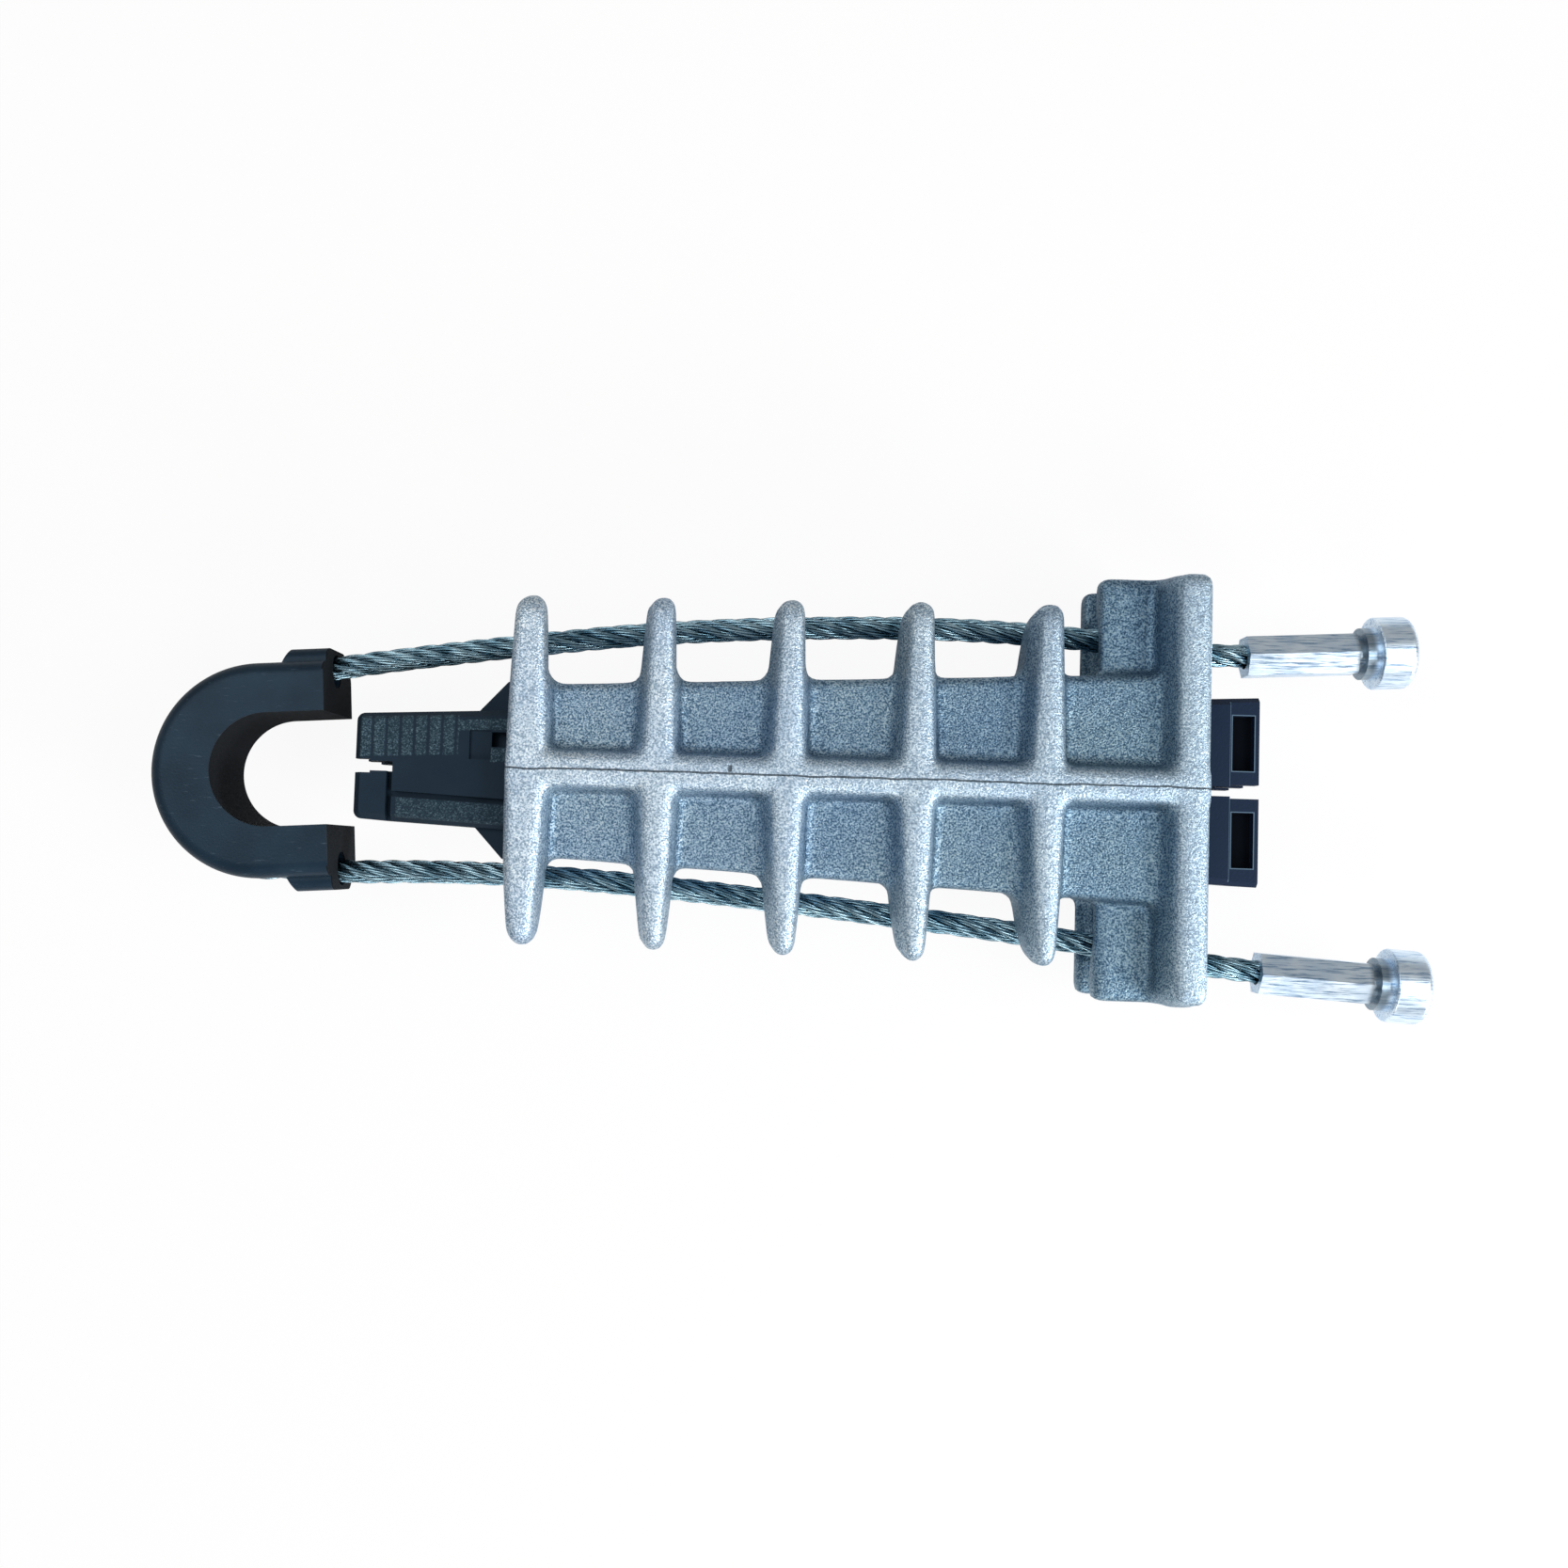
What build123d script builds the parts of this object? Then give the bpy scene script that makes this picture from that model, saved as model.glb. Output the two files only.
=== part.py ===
from build123d import *
import math
import os

os.makedirs("parts", exist_ok=True)

# Wedge strain clamp for bundled cable cores, in millimetres.
# X runs along the cable, from the narrow end to the wide end of the casting.
# Z is the thickness, and the casting's crests lie in two planes above and below.
# The origin is the centre of the cable axis at the casting's mid-length.

# Wire rope bail
rope_diameter = 6.0
rope_arm_play = 0.6
saddle_groove_play = 0.3

# Taper shared by the cavity, its box and the wedge halves
wedge_taper_deg = 2.68

# Casting: box, centre ridge and wall
casting_length = 168.0
box_half_width = 24.7
box_half_height = 18.0
box_edge_round = 2.0
top_wall = 3.5
side_wall = 5.7
crest_half_height = 26.0
ridge_width = 7.7
ridge_flank_run = 1.5
crest_round = 2.2
mouth_chamfer = 1.0

# Casting: cooling ribs across the box
rib_pitch = 31.0
rib_count = 4
last_rib_to_face = 38.6
rib_crest_width = 7.8
end_rib_crest_width = 9.6
rib_flank_run = 1.6
rib_plan_draft_deg = 2.0
rib_tip_flat = 0.4
rib_tip_run = 7.0
rib_tip_fall = 3.5
rib_half_span = 42.2
rib_span_growth = 0.3
rib_arm_rise = 2.1
lower_rib_inset = 2.8

# Casting: end flange and slotted lugs
flange_crest_width = 8.0
flange_flank_run = 1.8
flange_half_span = 53.0
flange_tip_round = 4.0
flange_face_round = 2.0
lug_length = 24.7
lug_half_span = 52.2
lug_half_height = 13.5
lug_round = 2.0
lug_slot_half_height = 6.3
seat_radius = 9.6
seat_depth = 2.8
seat_offset = 36.0

# Wedge halves
wedge_side_clearance = 0.3
wedge_top_clearance = 0.2
wedge_tail = 38.9
wedge_nose = 14.8
wedge_gap = 2.4
wedge_end_gap = 3.4
wedge_lead_length = 4.0
wedge_nose_block = 7.2
wedge_nose_step = 0.5
wedge_corner_round = 2.0
wedge_edge_chamfer = 1.6

# Retaining ears of the wedge halves
ear_gap = 1.0
ear_height = 7.2
ear_land = 1.4
ear_ramp_run = 7.0
ear_half_height = 11.0

# Core channels and their teeth
core_radius = 4.4
core_spacing = 11.8
core_depth = 8.5
tooth_pitch = 8.0
tooth_depth = 0.7
tooth_width = 2.4

# Cover tongue that bridges the two wedge halves
tongue_start_inset = 9.5
tongue_end_inset = 20.0
tongue_thickness = 2.0
tongue_reach = 6.0
tongue_clearance = 0.4
tongue_side_clearance = 1.3
end_groove_width = 1.4

# Recess, notch, pocket and shoulder groove in the wedge's broad faces
recess_start_inset = 28.1
recess_length = 5.3
recess_width = 7.2
recess_offset = 2.3
recess_depth = 0.8
notch_size = 3.7
notch_depth = 4.0
notch_offset = 5.4
pocket_length = 5.4
pocket_width = 13.6
pocket_depth = 3.0
pocket_offset = 5.1
pocket_end_inset = 1.2
shoulder_groove_width = 4.0
shoulder_groove_depth = 1.2
shoulder_groove_reach = 1.9

# Saddle
saddle_x = -145.2
saddle_y = -1.6
saddle_turn_deg = 4.0
saddle_half_height = 12.0
saddle_inner_radius = 14.1
saddle_outer_radius = 26.8
saddle_crown_shift = 2.5
saddle_leg_length = 14.6
saddle_edge_round = 3.6
groove_set_in = 2.7
leg_exit_set_in = 0.8
leg_bend_start = 4.0
cuff_start = 1.6
cuff_ramp = 3.6
cuff_stand_out = 3.6
cuff_half_height = 8.0
cuff_round = 2.8

# Pressed stops on the rope's two ends
stop_across_flats = 10.0
stop_shank_length = 28.0
stop_neck_radius = 4.7
stop_neck_length = 1.4
stop_ring_radius = 6.6
stop_ring_length = 3.0
stop_head_radius = 9.2
stop_head_length = 9.1
stop_head_inner_round = 0.5
stop_head_outer_round = 1.8
stop_bore_depth = 24.0
stop_approach = 7.0
stop_straight = 0.5
upper_stop_start = (99.0, 35.2)
upper_stop_turn_deg = 3.4
lower_stop_start = (103.2, -44.9)
lower_stop_turn_deg = -3.6

# Rope route: crown corners, share of a run that a corner's arc may use, and gap between arcs
crown_corner_count = 4
corner_share = 0.45
arc_gap = 0.1

# Sizes that follow from the ones above
tolerance = 0.01
overlap = 1.0
rope_radius = rope_diameter / 2
half_length = casting_length / 2
taper = math.tan(math.radians(wedge_taper_deg))
cavity_half_height = box_half_height - top_wall
cavity_half_width = box_half_width - side_wall
wedge_half_height = cavity_half_height - wedge_top_clearance
wedge_half_width = cavity_half_width - wedge_side_clearance
arm_clear_height = rope_radius + rope_arm_play
saddle_groove_radius = saddle_outer_radius - groove_set_in
leg_exit_offset = saddle_outer_radius - leg_exit_set_in
cuff_half_width = saddle_outer_radius + cuff_stand_out
wedge_left = -half_length - wedge_tail
wedge_right = half_length + wedge_nose


def tapered_outline(x_low, x_high, half_width):
    """Corners of a plan outline, symmetric about X, whose half-width is given at mid-length."""
    low = half_width + x_low * taper
    high = half_width + x_high * taper
    return [(x_low, -low), (x_high, -high), (x_high, high), (x_low, low)]


def make_rib(x_centre, crest_width, half_span, underside):
    """A rib on the upper face: upright below that face and drafted above it, with round tips that fall away."""
    root_half = crest_width / 2 + rib_flank_run
    tip_half = root_half - half_span * math.tan(math.radians(rib_plan_draft_deg))
    rise = crest_half_height - box_half_height
    corners = [(-tip_half, -half_span), (tip_half, -half_span), (root_half, 0)]
    corners += [(tip_half, half_span), (-tip_half, half_span), (-root_half, 0)]
    level_span = half_span - rib_tip_run
    tip_height = crest_half_height - rib_tip_fall
    with BuildPart() as rib:
        for level in (underside, box_half_height):
            with BuildSketch(Plane.XY.offset(level)) as plan:
                with Locations((x_centre, 0)):
                    Polygon(*corners, align=None)
                tips = plan.vertices().filter_by(lambda v: abs(v.Y) > half_span / 2)
                fillet(tips, tip_half - rib_tip_flat)
            if level == underside:
                extrude(amount=box_half_height - underside)
            else:
                extrude(amount=rise, taper=math.degrees(math.atan(rib_flank_run / rise)))
        # The crest runs level along the middle and falls in an arc to each tip
        with BuildSketch(Plane.YZ.offset(x_centre - 2 * root_half)):
            with BuildLine():
                Line((-level_span, crest_half_height), (level_span, crest_half_height))
                TangentArc((level_span, crest_half_height), (half_span, tip_height), tangent=(1, 0))
                Polyline(
                    (half_span, tip_height),
                    (half_span, underside),
                    (-half_span, underside),
                    (-half_span, tip_height),
                )
                TangentArc((-level_span, crest_half_height), (-half_span, tip_height), tangent=(-1, 0))
            make_face()
        extrude(amount=4 * root_half, mode=Mode.INTERSECT)
        crest_rims = rib.edges().filter_by(
            lambda e: e.center().Z > tip_height and abs(abs(e.center().Y) - level_span) > tolerance
        )
        fillet(crest_rims, crest_round)
    return rib.part


# Casting: the ribs, which reach out over the rope's legs above and end on the box's flat face below
last_rib_x = half_length - last_rib_to_face
rib_places = [(-half_length + end_rib_crest_width / 2, end_rib_crest_width)]
for index in range(rib_count):
    rib_places.append((last_rib_x - (rib_count - 1 - index) * rib_pitch, rib_crest_width))
upper_ribs = []
lower_ribs = []
for index, (rib_x, rib_width) in enumerate(rib_places):
    arm_underside = arm_clear_height + (rib_count - index) * rib_arm_rise
    upper_ribs.append(make_rib(rib_x, rib_width, rib_half_span + index * rib_span_growth, arm_underside))
    lower_half_span = box_half_width + rib_x * taper - lower_rib_inset
    lower_ribs.append(make_rib(rib_x, rib_width, lower_half_span, 0))

# Casting: the end flange, drafted on the side of the ribs and flat on its outer face
flange_rise = crest_half_height - lug_half_height
with BuildPart() as flange:
    for level in (0, lug_half_height):
        with BuildSketch(Plane.XY.offset(level)):
            flange_root = half_length - flange_crest_width - flange_flank_run
            flange_width = flange_crest_width + 2 * flange_flank_run
            with Locations((flange_root + flange_width / 2, 0)):
                RectangleRounded(flange_width, 2 * flange_half_span, flange_tip_round)
        if level == 0:
            extrude(amount=lug_half_height)
        else:
            extrude(amount=flange_rise, taper=math.degrees(math.atan(flange_flank_run / flange_rise)))
    fillet(flange.edges().group_by(Axis.Z)[-1], crest_round)
    mirror(about=Plane.XY)
    split(bisect_by=Plane.YZ.offset(half_length), keep=Keep.BOTTOM)
    fillet(flange.edges().group_by(Axis.X)[-1], flange_face_round)

# Casting: the lug block beside the flange
with BuildPart() as lugs:
    with BuildSketch(Plane.XY.offset(-lug_half_height)) as lug_plan:
        with Locations((half_length - lug_length, 0)):
            Rectangle(lug_length - flange_crest_width / 2, 2 * lug_half_span, align=(Align.MIN, Align.CENTER))
        fillet(lug_plan.vertices().group_by(Axis.X)[0], lug_round)
    extrude(amount=2 * lug_half_height)
    lug_rims = lugs.edges().filter_by(lambda e: abs(abs(e.center().Z) - lug_half_height) < tolerance)
    fillet(lug_rims.filter_by(lambda e: e.center().X < half_length - flange_crest_width), lug_round)

# Casting: the tapered box
with BuildPart() as box:
    with BuildSketch(Plane.XY.offset(-box_half_height)):
        Polygon(*tapered_outline(-half_length, half_length, box_half_width), align=None)
    extrude(amount=2 * box_half_height)
    box_long_edges = box.edges().filter_by(lambda e: e.length > casting_length)
    fillet(box_long_edges, box_edge_round)

# Casting: the centre ridge, flush with the crests on both faces
with BuildPart() as ridge:
    with BuildSketch(Plane.YZ.offset(-half_length)):
        ridge_root = ridge_width / 2 + ridge_flank_run
        with BuildLine():
            Polyline(
                (-ridge_root, 0),
                (-ridge_root, box_half_height),
                (-ridge_width / 2, crest_half_height),
                (ridge_width / 2, crest_half_height),
                (ridge_root, box_half_height),
                (ridge_root, 0),
                close=True,
            )
        make_face()
    extrude(amount=casting_length)
    ridge_crest = ridge.edges().filter_by(Axis.X).group_by(Axis.Z)[-1]
    fillet(ridge_crest, crest_round)
    mirror(about=Plane.XY)

with BuildPart() as cast_body:
    add(flange.part)
    add(lugs.part)
    # Slots through flange and lugs, open at their sides, where the pressed shanks pass
    with BuildSketch(Plane.YZ.offset(half_length - lug_length)):
        Rectangle(4 * flange_half_span, 2 * lug_slot_half_height)
    extrude(amount=casting_length, mode=Mode.SUBTRACT)
    # Seats for the stops' heads in the lugs' inner mouths, open towards the box
    with BuildSketch(Plane.YZ.offset(half_length - lug_length)):
        with Locations((seat_offset, 0), (-seat_offset, 0)):
            Circle(seat_radius)
        Rectangle(2 * seat_offset, 2 * seat_radius)
    extrude(amount=seat_depth, mode=Mode.SUBTRACT)
    for rib in upper_ribs:
        add(rib)
    for rib in lower_ribs:
        add(rib, rotation=(180, 0, 0))
    add(box.part)
    add(ridge.part)
    split(bisect_by=Plane.YZ.offset(-half_length), keep=Keep.TOP)
    # Tapered cavity that the wedge halves run in
    with BuildSketch(Plane.XY.offset(-cavity_half_height)):
        Polygon(*tapered_outline(-casting_length, casting_length, cavity_half_width), align=None)
    extrude(amount=2 * cavity_half_height, mode=Mode.SUBTRACT)
    mouth_edges = cast_body.edges().group_by(Axis.X)[0].filter_by(
        lambda e: abs(e.center().Z) < cavity_half_height + tolerance and abs(e.center().Y) < cavity_half_width
    )
    chamfer(mouth_edges, mouth_chamfer)

cast_body.part.label = "cast_body"
export_step(cast_body.part, "parts/cast_body.step")


# Wedge half on the +Y side
def wedge_side(x):
    """Outer half-width of the wedge halves at a place along X."""
    return wedge_half_width + x * taper


half_gap = wedge_gap / 2
core_axis_y = half_gap + core_depth - core_radius
core_axis_z = core_spacing / 2
ear_back = -half_length - ear_gap
ear_front = ear_back - ear_land - ear_ramp_run
tongue_start = wedge_left + tongue_start_inset
tongue_end = half_length - tongue_end_inset
tongue_end_reach = tongue_reach + (tongue_end - tongue_start) * taper


def tooth_profile():
    """Half section of a toothed core channel: its axis, then a wall with even V grooves."""
    points = [(wedge_left - overlap, 0), (wedge_left - overlap, core_radius)]
    teeth = int((wedge_right - wedge_left) / tooth_pitch)
    first = (wedge_left + wedge_right - (teeth - 1) * tooth_pitch) / 2
    for index in range(teeth):
        middle = first + index * tooth_pitch
        points.append((middle - tooth_width / 2, core_radius))
        points.append((middle, core_radius + tooth_depth))
        points.append((middle + tooth_width / 2, core_radius))
    points += [(wedge_right + overlap, core_radius), (wedge_right + overlap, 0)]
    return points


with BuildPart() as wedge_upper:
    with BuildSketch(Plane.XY.offset(-wedge_half_height)) as wedge_plan:
        Polygon(
            (wedge_left, half_gap),
            (wedge_right, half_gap),
            (wedge_right, wedge_side(wedge_right)),
            (wedge_left, wedge_side(wedge_left)),
            align=None,
        )
        fillet(wedge_plan.vertices().sort_by(Axis.X)[:2].sort_by(Axis.Y)[-1], wedge_corner_round)
    extrude(amount=2 * wedge_half_height)
    wedge_rims = wedge_upper.edges().filter_by(
        lambda e: abs(abs(e.center().Z) - wedge_half_height) < tolerance and e.length > casting_length
    )
    chamfer(wedge_rims.group_by(Axis.Y)[-1], wedge_edge_chamfer)
    # Ear that keeps the half from falling out at the wide end
    with BuildSketch(Plane.XY.offset(-ear_half_height)):
        Polygon(
            (ear_front, half_gap + core_depth + overlap),
            (ear_front, wedge_side(ear_front)),
            (ear_back - ear_land, wedge_side(ear_back) + ear_height),
            (ear_back, wedge_side(ear_back) + ear_height),
            (ear_back, half_gap + core_depth + overlap),
            align=None,
        )
    extrude(amount=2 * ear_half_height)
    # Two toothed core channels, open towards the other half
    for core_z in (-core_axis_z, core_axis_z):
        core_plane = Plane(origin=(0, core_axis_y, core_z), x_dir=(1, 0, 0), z_dir=(0, 0, 1))
        with BuildSketch(core_plane):
            Polygon(*tooth_profile(), align=None)
        revolve(axis=Axis((0, core_axis_y, core_z), (1, 0, 0)), mode=Mode.SUBTRACT)
        with BuildSketch(Plane.XY.offset(core_z - core_radius)):
            Polygon(
                (wedge_left - overlap, 0),
                (wedge_right + overlap, 0),
                (wedge_right + overlap, core_axis_y),
                (wedge_left - overlap, core_axis_y),
                align=None,
            )
        extrude(amount=2 * core_radius, mode=Mode.SUBTRACT)
    # Wider gap at both ends of the inner face
    end_strip = (wedge_end_gap - wedge_gap) / 2
    with BuildSketch(Plane.XY.offset(-wedge_half_height)):
        with Locations((wedge_left, half_gap)):
            Rectangle(wedge_lead_length, end_strip, align=Align.MIN)
        with Locations((wedge_right - wedge_nose_block, half_gap)):
            Rectangle(wedge_nose_block, end_strip, align=Align.MIN)
    extrude(amount=2 * wedge_half_height, mode=Mode.SUBTRACT)
    # Cover tongue on the upper face, over the other half's rebate
    with BuildSketch(Plane.XY.offset(wedge_half_height - tongue_thickness)):
        Polygon(
            (tongue_start, half_gap + overlap),
            (tongue_start, -tongue_reach),
            (tongue_end, -tongue_end_reach),
            (tongue_end, half_gap + overlap),
            align=None,
        )
    extrude(amount=tongue_thickness)
    # Rebate on the lower face for the other half's tongue, and the groove across its start
    rebate_depth = tongue_thickness + tongue_clearance
    with BuildSketch(Plane.XY.offset(-wedge_half_height)):
        Polygon(
            (tongue_start - end_groove_width, 0),
            (tongue_start - end_groove_width, tongue_reach + tongue_side_clearance),
            (tongue_end + end_groove_width, tongue_end_reach + tongue_side_clearance),
            (tongue_end + end_groove_width, 0),
            align=None,
        )
        with Locations((tongue_start - end_groove_width, 0)):
            Rectangle(end_groove_width, box_half_width, align=Align.MIN)
    extrude(amount=rebate_depth, mode=Mode.SUBTRACT)
    # Groove across the lower face where it leaves the casting's flange
    with BuildSketch(Plane.XY.offset(-wedge_half_height)):
        with Locations((half_length + shoulder_groove_reach - shoulder_groove_width, 0)):
            Rectangle(shoulder_groove_width, box_half_width + wedge_nose, align=Align.MIN)
    extrude(amount=shoulder_groove_depth, mode=Mode.SUBTRACT)
    # Recess and notch in the upper face, just outside the casting
    recess_start = wedge_left + recess_start_inset
    with BuildSketch(Plane.XY.offset(wedge_half_height)):
        with Locations((recess_start, recess_offset)):
            Rectangle(recess_length, recess_width, align=Align.MIN)
    extrude(amount=-recess_depth, mode=Mode.SUBTRACT)
    with BuildSketch(Plane.XY.offset(wedge_half_height)):
        with Locations((recess_start + recess_length, notch_offset)):
            Rectangle(notch_size, notch_size, align=Align.MIN)
    extrude(amount=-notch_depth, mode=Mode.SUBTRACT)
    # Stepped nose block with a pocket in each broad face
    for side in (-1, 1):
        with BuildSketch(Plane.XY.offset(side * wedge_half_height)):
            with Locations((wedge_right - wedge_nose_block, 0)):
                Rectangle(wedge_nose_block, box_half_width + wedge_nose, align=Align.MIN)
        extrude(amount=-side * wedge_nose_step, mode=Mode.SUBTRACT)
        with BuildSketch(Plane.XY.offset(side * wedge_half_height)):
            with Locations((wedge_right - pocket_end_inset - pocket_length, pocket_offset)):
                Rectangle(pocket_length, pocket_width, align=Align.MIN)
        extrude(amount=-side * pocket_depth, mode=Mode.SUBTRACT)

wedge_upper.part.label = "wedge_upper"
export_step(wedge_upper.part, "parts/wedge_upper.step")

# The other half is the same moulding, turned over about the cable axis
with BuildPart() as wedge_lower:
    add(wedge_upper.part, rotation=(180, 0, 0))

wedge_lower.part.label = "wedge_lower"
export_step(wedge_lower.part, "parts/wedge_lower.step")

# Saddle: U-shaped thimble with a rope groove outside and closed cuffs on its two legs
turn = math.radians(saddle_turn_deg)
saddle_plane = Plane(
    origin=(saddle_x, saddle_y, 0), x_dir=(math.cos(turn), math.sin(turn), 0), z_dir=(0, 0, 1)
)
crown_plane = Plane(
    saddle_plane.from_local_coords((-saddle_crown_shift, 0, 0)),
    x_dir=saddle_plane.y_dir,
    z_dir=saddle_plane.x_dir,
)
groove_half_width = rope_radius + saddle_groove_play

with BuildPart() as saddle:
    with BuildSketch(saddle_plane.offset(-saddle_half_height)):
        with BuildLine():
            Line((saddle_leg_length, saddle_outer_radius), (-saddle_crown_shift, saddle_outer_radius))
            ThreePointArc(
                (-saddle_crown_shift, saddle_outer_radius),
                (-saddle_crown_shift - saddle_outer_radius, 0),
                (-saddle_crown_shift, -saddle_outer_radius),
            )
            Line((-saddle_crown_shift, -saddle_outer_radius), (saddle_leg_length, -saddle_outer_radius))
            Line((saddle_leg_length, -saddle_outer_radius), (saddle_leg_length, -saddle_inner_radius))
            Line((saddle_leg_length, -saddle_inner_radius), (0, -saddle_inner_radius))
            ThreePointArc((0, -saddle_inner_radius), (-saddle_inner_radius, 0), (0, saddle_inner_radius))
            Line((0, saddle_inner_radius), (saddle_leg_length, saddle_inner_radius))
            Line((saddle_leg_length, saddle_inner_radius), (saddle_leg_length, saddle_outer_radius))
        make_face()
    extrude(amount=2 * saddle_half_height)
    outer_rims = saddle.edges().filter_by(
        lambda e: abs(abs(e.center().Z) - saddle_half_height) < tolerance
        and saddle_plane.to_local_coords(e @ 0.5).length > (saddle_inner_radius + saddle_outer_radius) / 2
        and e.length > saddle_leg_length
    )
    fillet(outer_rims, saddle_edge_round)
    # Closed cuffs on the outer side of the legs
    for side in (-1, 1):
        with BuildSketch(saddle_plane.offset(-cuff_half_height)):
            Polygon(
                (cuff_start, side * saddle_groove_radius),
                (cuff_start + cuff_ramp, side * cuff_half_width),
                (saddle_leg_length, side * cuff_half_width),
                (saddle_leg_length, side * (saddle_inner_radius + overlap)),
                (cuff_start, side * (saddle_inner_radius + overlap)),
                align=None,
            )
        extrude(amount=2 * cuff_half_height)
    cuff_rims = saddle.edges().filter_by(
        lambda e: abs(abs(e.center().Z) - cuff_half_height) < tolerance
        and abs(abs(saddle_plane.to_local_coords(e @ 0.5).Y) - cuff_half_width) < tolerance
    )
    fillet(cuff_rims, cuff_round)
    # Groove round the crown, open outwards, then a tunnel along each leg
    with BuildSketch(crown_plane):
        with Locations((saddle_groove_radius, 0)):
            Circle(groove_half_width)
            Rectangle(saddle_outer_radius, 2 * groove_half_width, align=(Align.MIN, Align.CENTER))
    crown_axis = Axis(crown_plane.origin, (0, 0, 1))
    revolve(axis=crown_axis, revolution_arc=180, mode=Mode.SUBTRACT)
    with BuildSketch(crown_plane):
        tunnel_centre = (saddle_groove_radius + leg_exit_offset) / 2
        with Locations((tunnel_centre, 0), (-tunnel_centre, 0)):
            SlotCenterToCenter(leg_exit_offset - saddle_groove_radius, 2 * groove_half_width)
    extrude(amount=2 * saddle_leg_length, mode=Mode.SUBTRACT)

saddle.part.label = "saddle"
export_step(saddle.part, "parts/saddle.step")


def on_saddle(u, v):
    """A point of the saddle's own plane, as a point of the clamp's frame."""
    return saddle_plane.from_local_coords((u, v, 0))


def beyond_stop(start, turn_deg, distance):
    """A point on a stop's axis, measured from where the rope enters it."""
    angle = math.radians(turn_deg)
    return Vector(start[0] + distance * math.cos(angle), start[1] + distance * math.sin(angle), 0)


# Wire rope: one length from stop to stop, round the saddle
crown_half_turn = math.pi / crown_corner_count / 2
crown_reach = saddle_groove_radius / math.cos(crown_half_turn)
crown_corners = []
for index in range(crown_corner_count):
    crown_angle = math.pi / 2 + (2 * index + 1) * crown_half_turn
    corner_u = crown_reach * math.cos(crown_angle) - saddle_crown_shift
    crown_corners.append(on_saddle(corner_u, crown_reach * math.sin(crown_angle)))
upper_leg = [
    (75.0, 37.0),
    (48.0, 39.4),
    (18.0, 40.3),
    (-18.0, 39.2),
    (-52.0, 36.8),
    (-84.0, 32.7),
    (-111.0, 28.8),
]
lower_leg = [
    (-106.0, -25.6),
    (-80.0, -25.9),
    (-52.0, -27.5),
    (-22.0, -30.1),
    (10.0, -33.2),
    (42.0, -36.6),
    (74.0, -40.6),
]
route = [beyond_stop(upper_stop_start, upper_stop_turn_deg, stop_bore_depth)]
route += [beyond_stop(upper_stop_start, upper_stop_turn_deg, -stop_approach)]
route += [Vector(x, y, 0) for x, y in upper_leg]
route += [on_saddle(saddle_leg_length, leg_exit_offset), on_saddle(leg_bend_start, saddle_groove_radius)]
first_crown_corner = len(route)
route += crown_corners
route += [on_saddle(leg_bend_start, -saddle_groove_radius), on_saddle(saddle_leg_length, -leg_exit_offset)]
route += [Vector(x, y, 0) for x, y in lower_leg]
route += [beyond_stop(lower_stop_start, lower_stop_turn_deg, -stop_approach)]
route += [beyond_stop(lower_stop_start, lower_stop_turn_deg, stop_bore_depth)]


def corner_radius(index, room):
    """The arc at a route corner whose tangents reach as far along its two runs as the room allows."""
    before = route[index] - route[index - 1]
    after = route[index + 1] - route[index]
    half_turn = math.radians(before.get_angle(after)) / 2
    return min(corner_share * before.length, corner_share * after.length, room) / math.tan(half_turn)


# The crown's corners follow the groove, and the corners beside them and beside the stops have less room
crown_radius = saddle_groove_radius - arc_gap
last_crown_corner = first_crown_corner + crown_corner_count - 1
leg_run = (crown_corners[0] - route[first_crown_corner - 1]).length
leg_room = leg_run - crown_radius * math.tan(crown_half_turn) - arc_gap
stop_room = stop_approach - stop_straight
room_at = {1: stop_room, len(route) - 2: stop_room}
room_at |= {first_crown_corner - 1: leg_room, last_crown_corner + 1: leg_room}
radii = []
for index in range(1, len(route) - 1):
    if first_crown_corner <= index <= last_crown_corner:
        radii.append(crown_radius)
    else:
        radii.append(corner_radius(index, room_at.get(index, casting_length)))
print("rope corner radii", [round(radius, 1) for radius in radii])

with BuildPart() as wire_rope:
    with BuildLine() as rope_path:
        FilletPolyline(*route, radius=radii)
    with BuildSketch(Plane(route[0], z_dir=route[1] - route[0])):
        Circle(rope_radius)
    sweep(path=rope_path.line)

rope_length = sum(edge.length for edge in rope_path.edges())
print("rope length", round(rope_length, 1))
tube_volume = math.pi * rope_radius**2 * rope_length
print("rope volume over section times length", wire_rope.part.volume / tube_volume)
wire_rope.part.label = "wire_rope"
export_step(wire_rope.part, "parts/wire_rope.step")


def make_stop(start, turn_deg):
    """A stop: hexagonal pressed shank with a corner up, neck, step ring and round head, and a blind bore."""
    angle = math.radians(turn_deg)
    plane = Plane((start[0], start[1], 0), x_dir=(0, 0, 1), z_dir=(math.cos(angle), math.sin(angle), 0))
    with BuildPart() as stop:
        with BuildSketch(plane):
            RegularPolygon(stop_across_flats / 2, 6, major_radius=False)
        extrude(amount=stop_shank_length)
        reached = stop_shank_length
        for radius, length in (
            (stop_neck_radius, stop_neck_length),
            (stop_ring_radius, stop_ring_length),
            (stop_head_radius, stop_head_length),
        ):
            with BuildSketch(plane.offset(reached)):
                Circle(radius)
            extrude(amount=length)
            reached += length
        rims = stop.edges().filter_by(GeomType.CIRCLE)
        head_rims = rims.filter_by(lambda e: abs(e.radius - stop_head_radius) < tolerance).sort_by(Axis.X)
        fillet(head_rims[0], stop_head_inner_round)
        fillet(head_rims[-1], stop_head_outer_round)
        with BuildSketch(plane):
            Circle(rope_radius)
        extrude(amount=stop_bore_depth, mode=Mode.SUBTRACT)
    return stop.part


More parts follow.
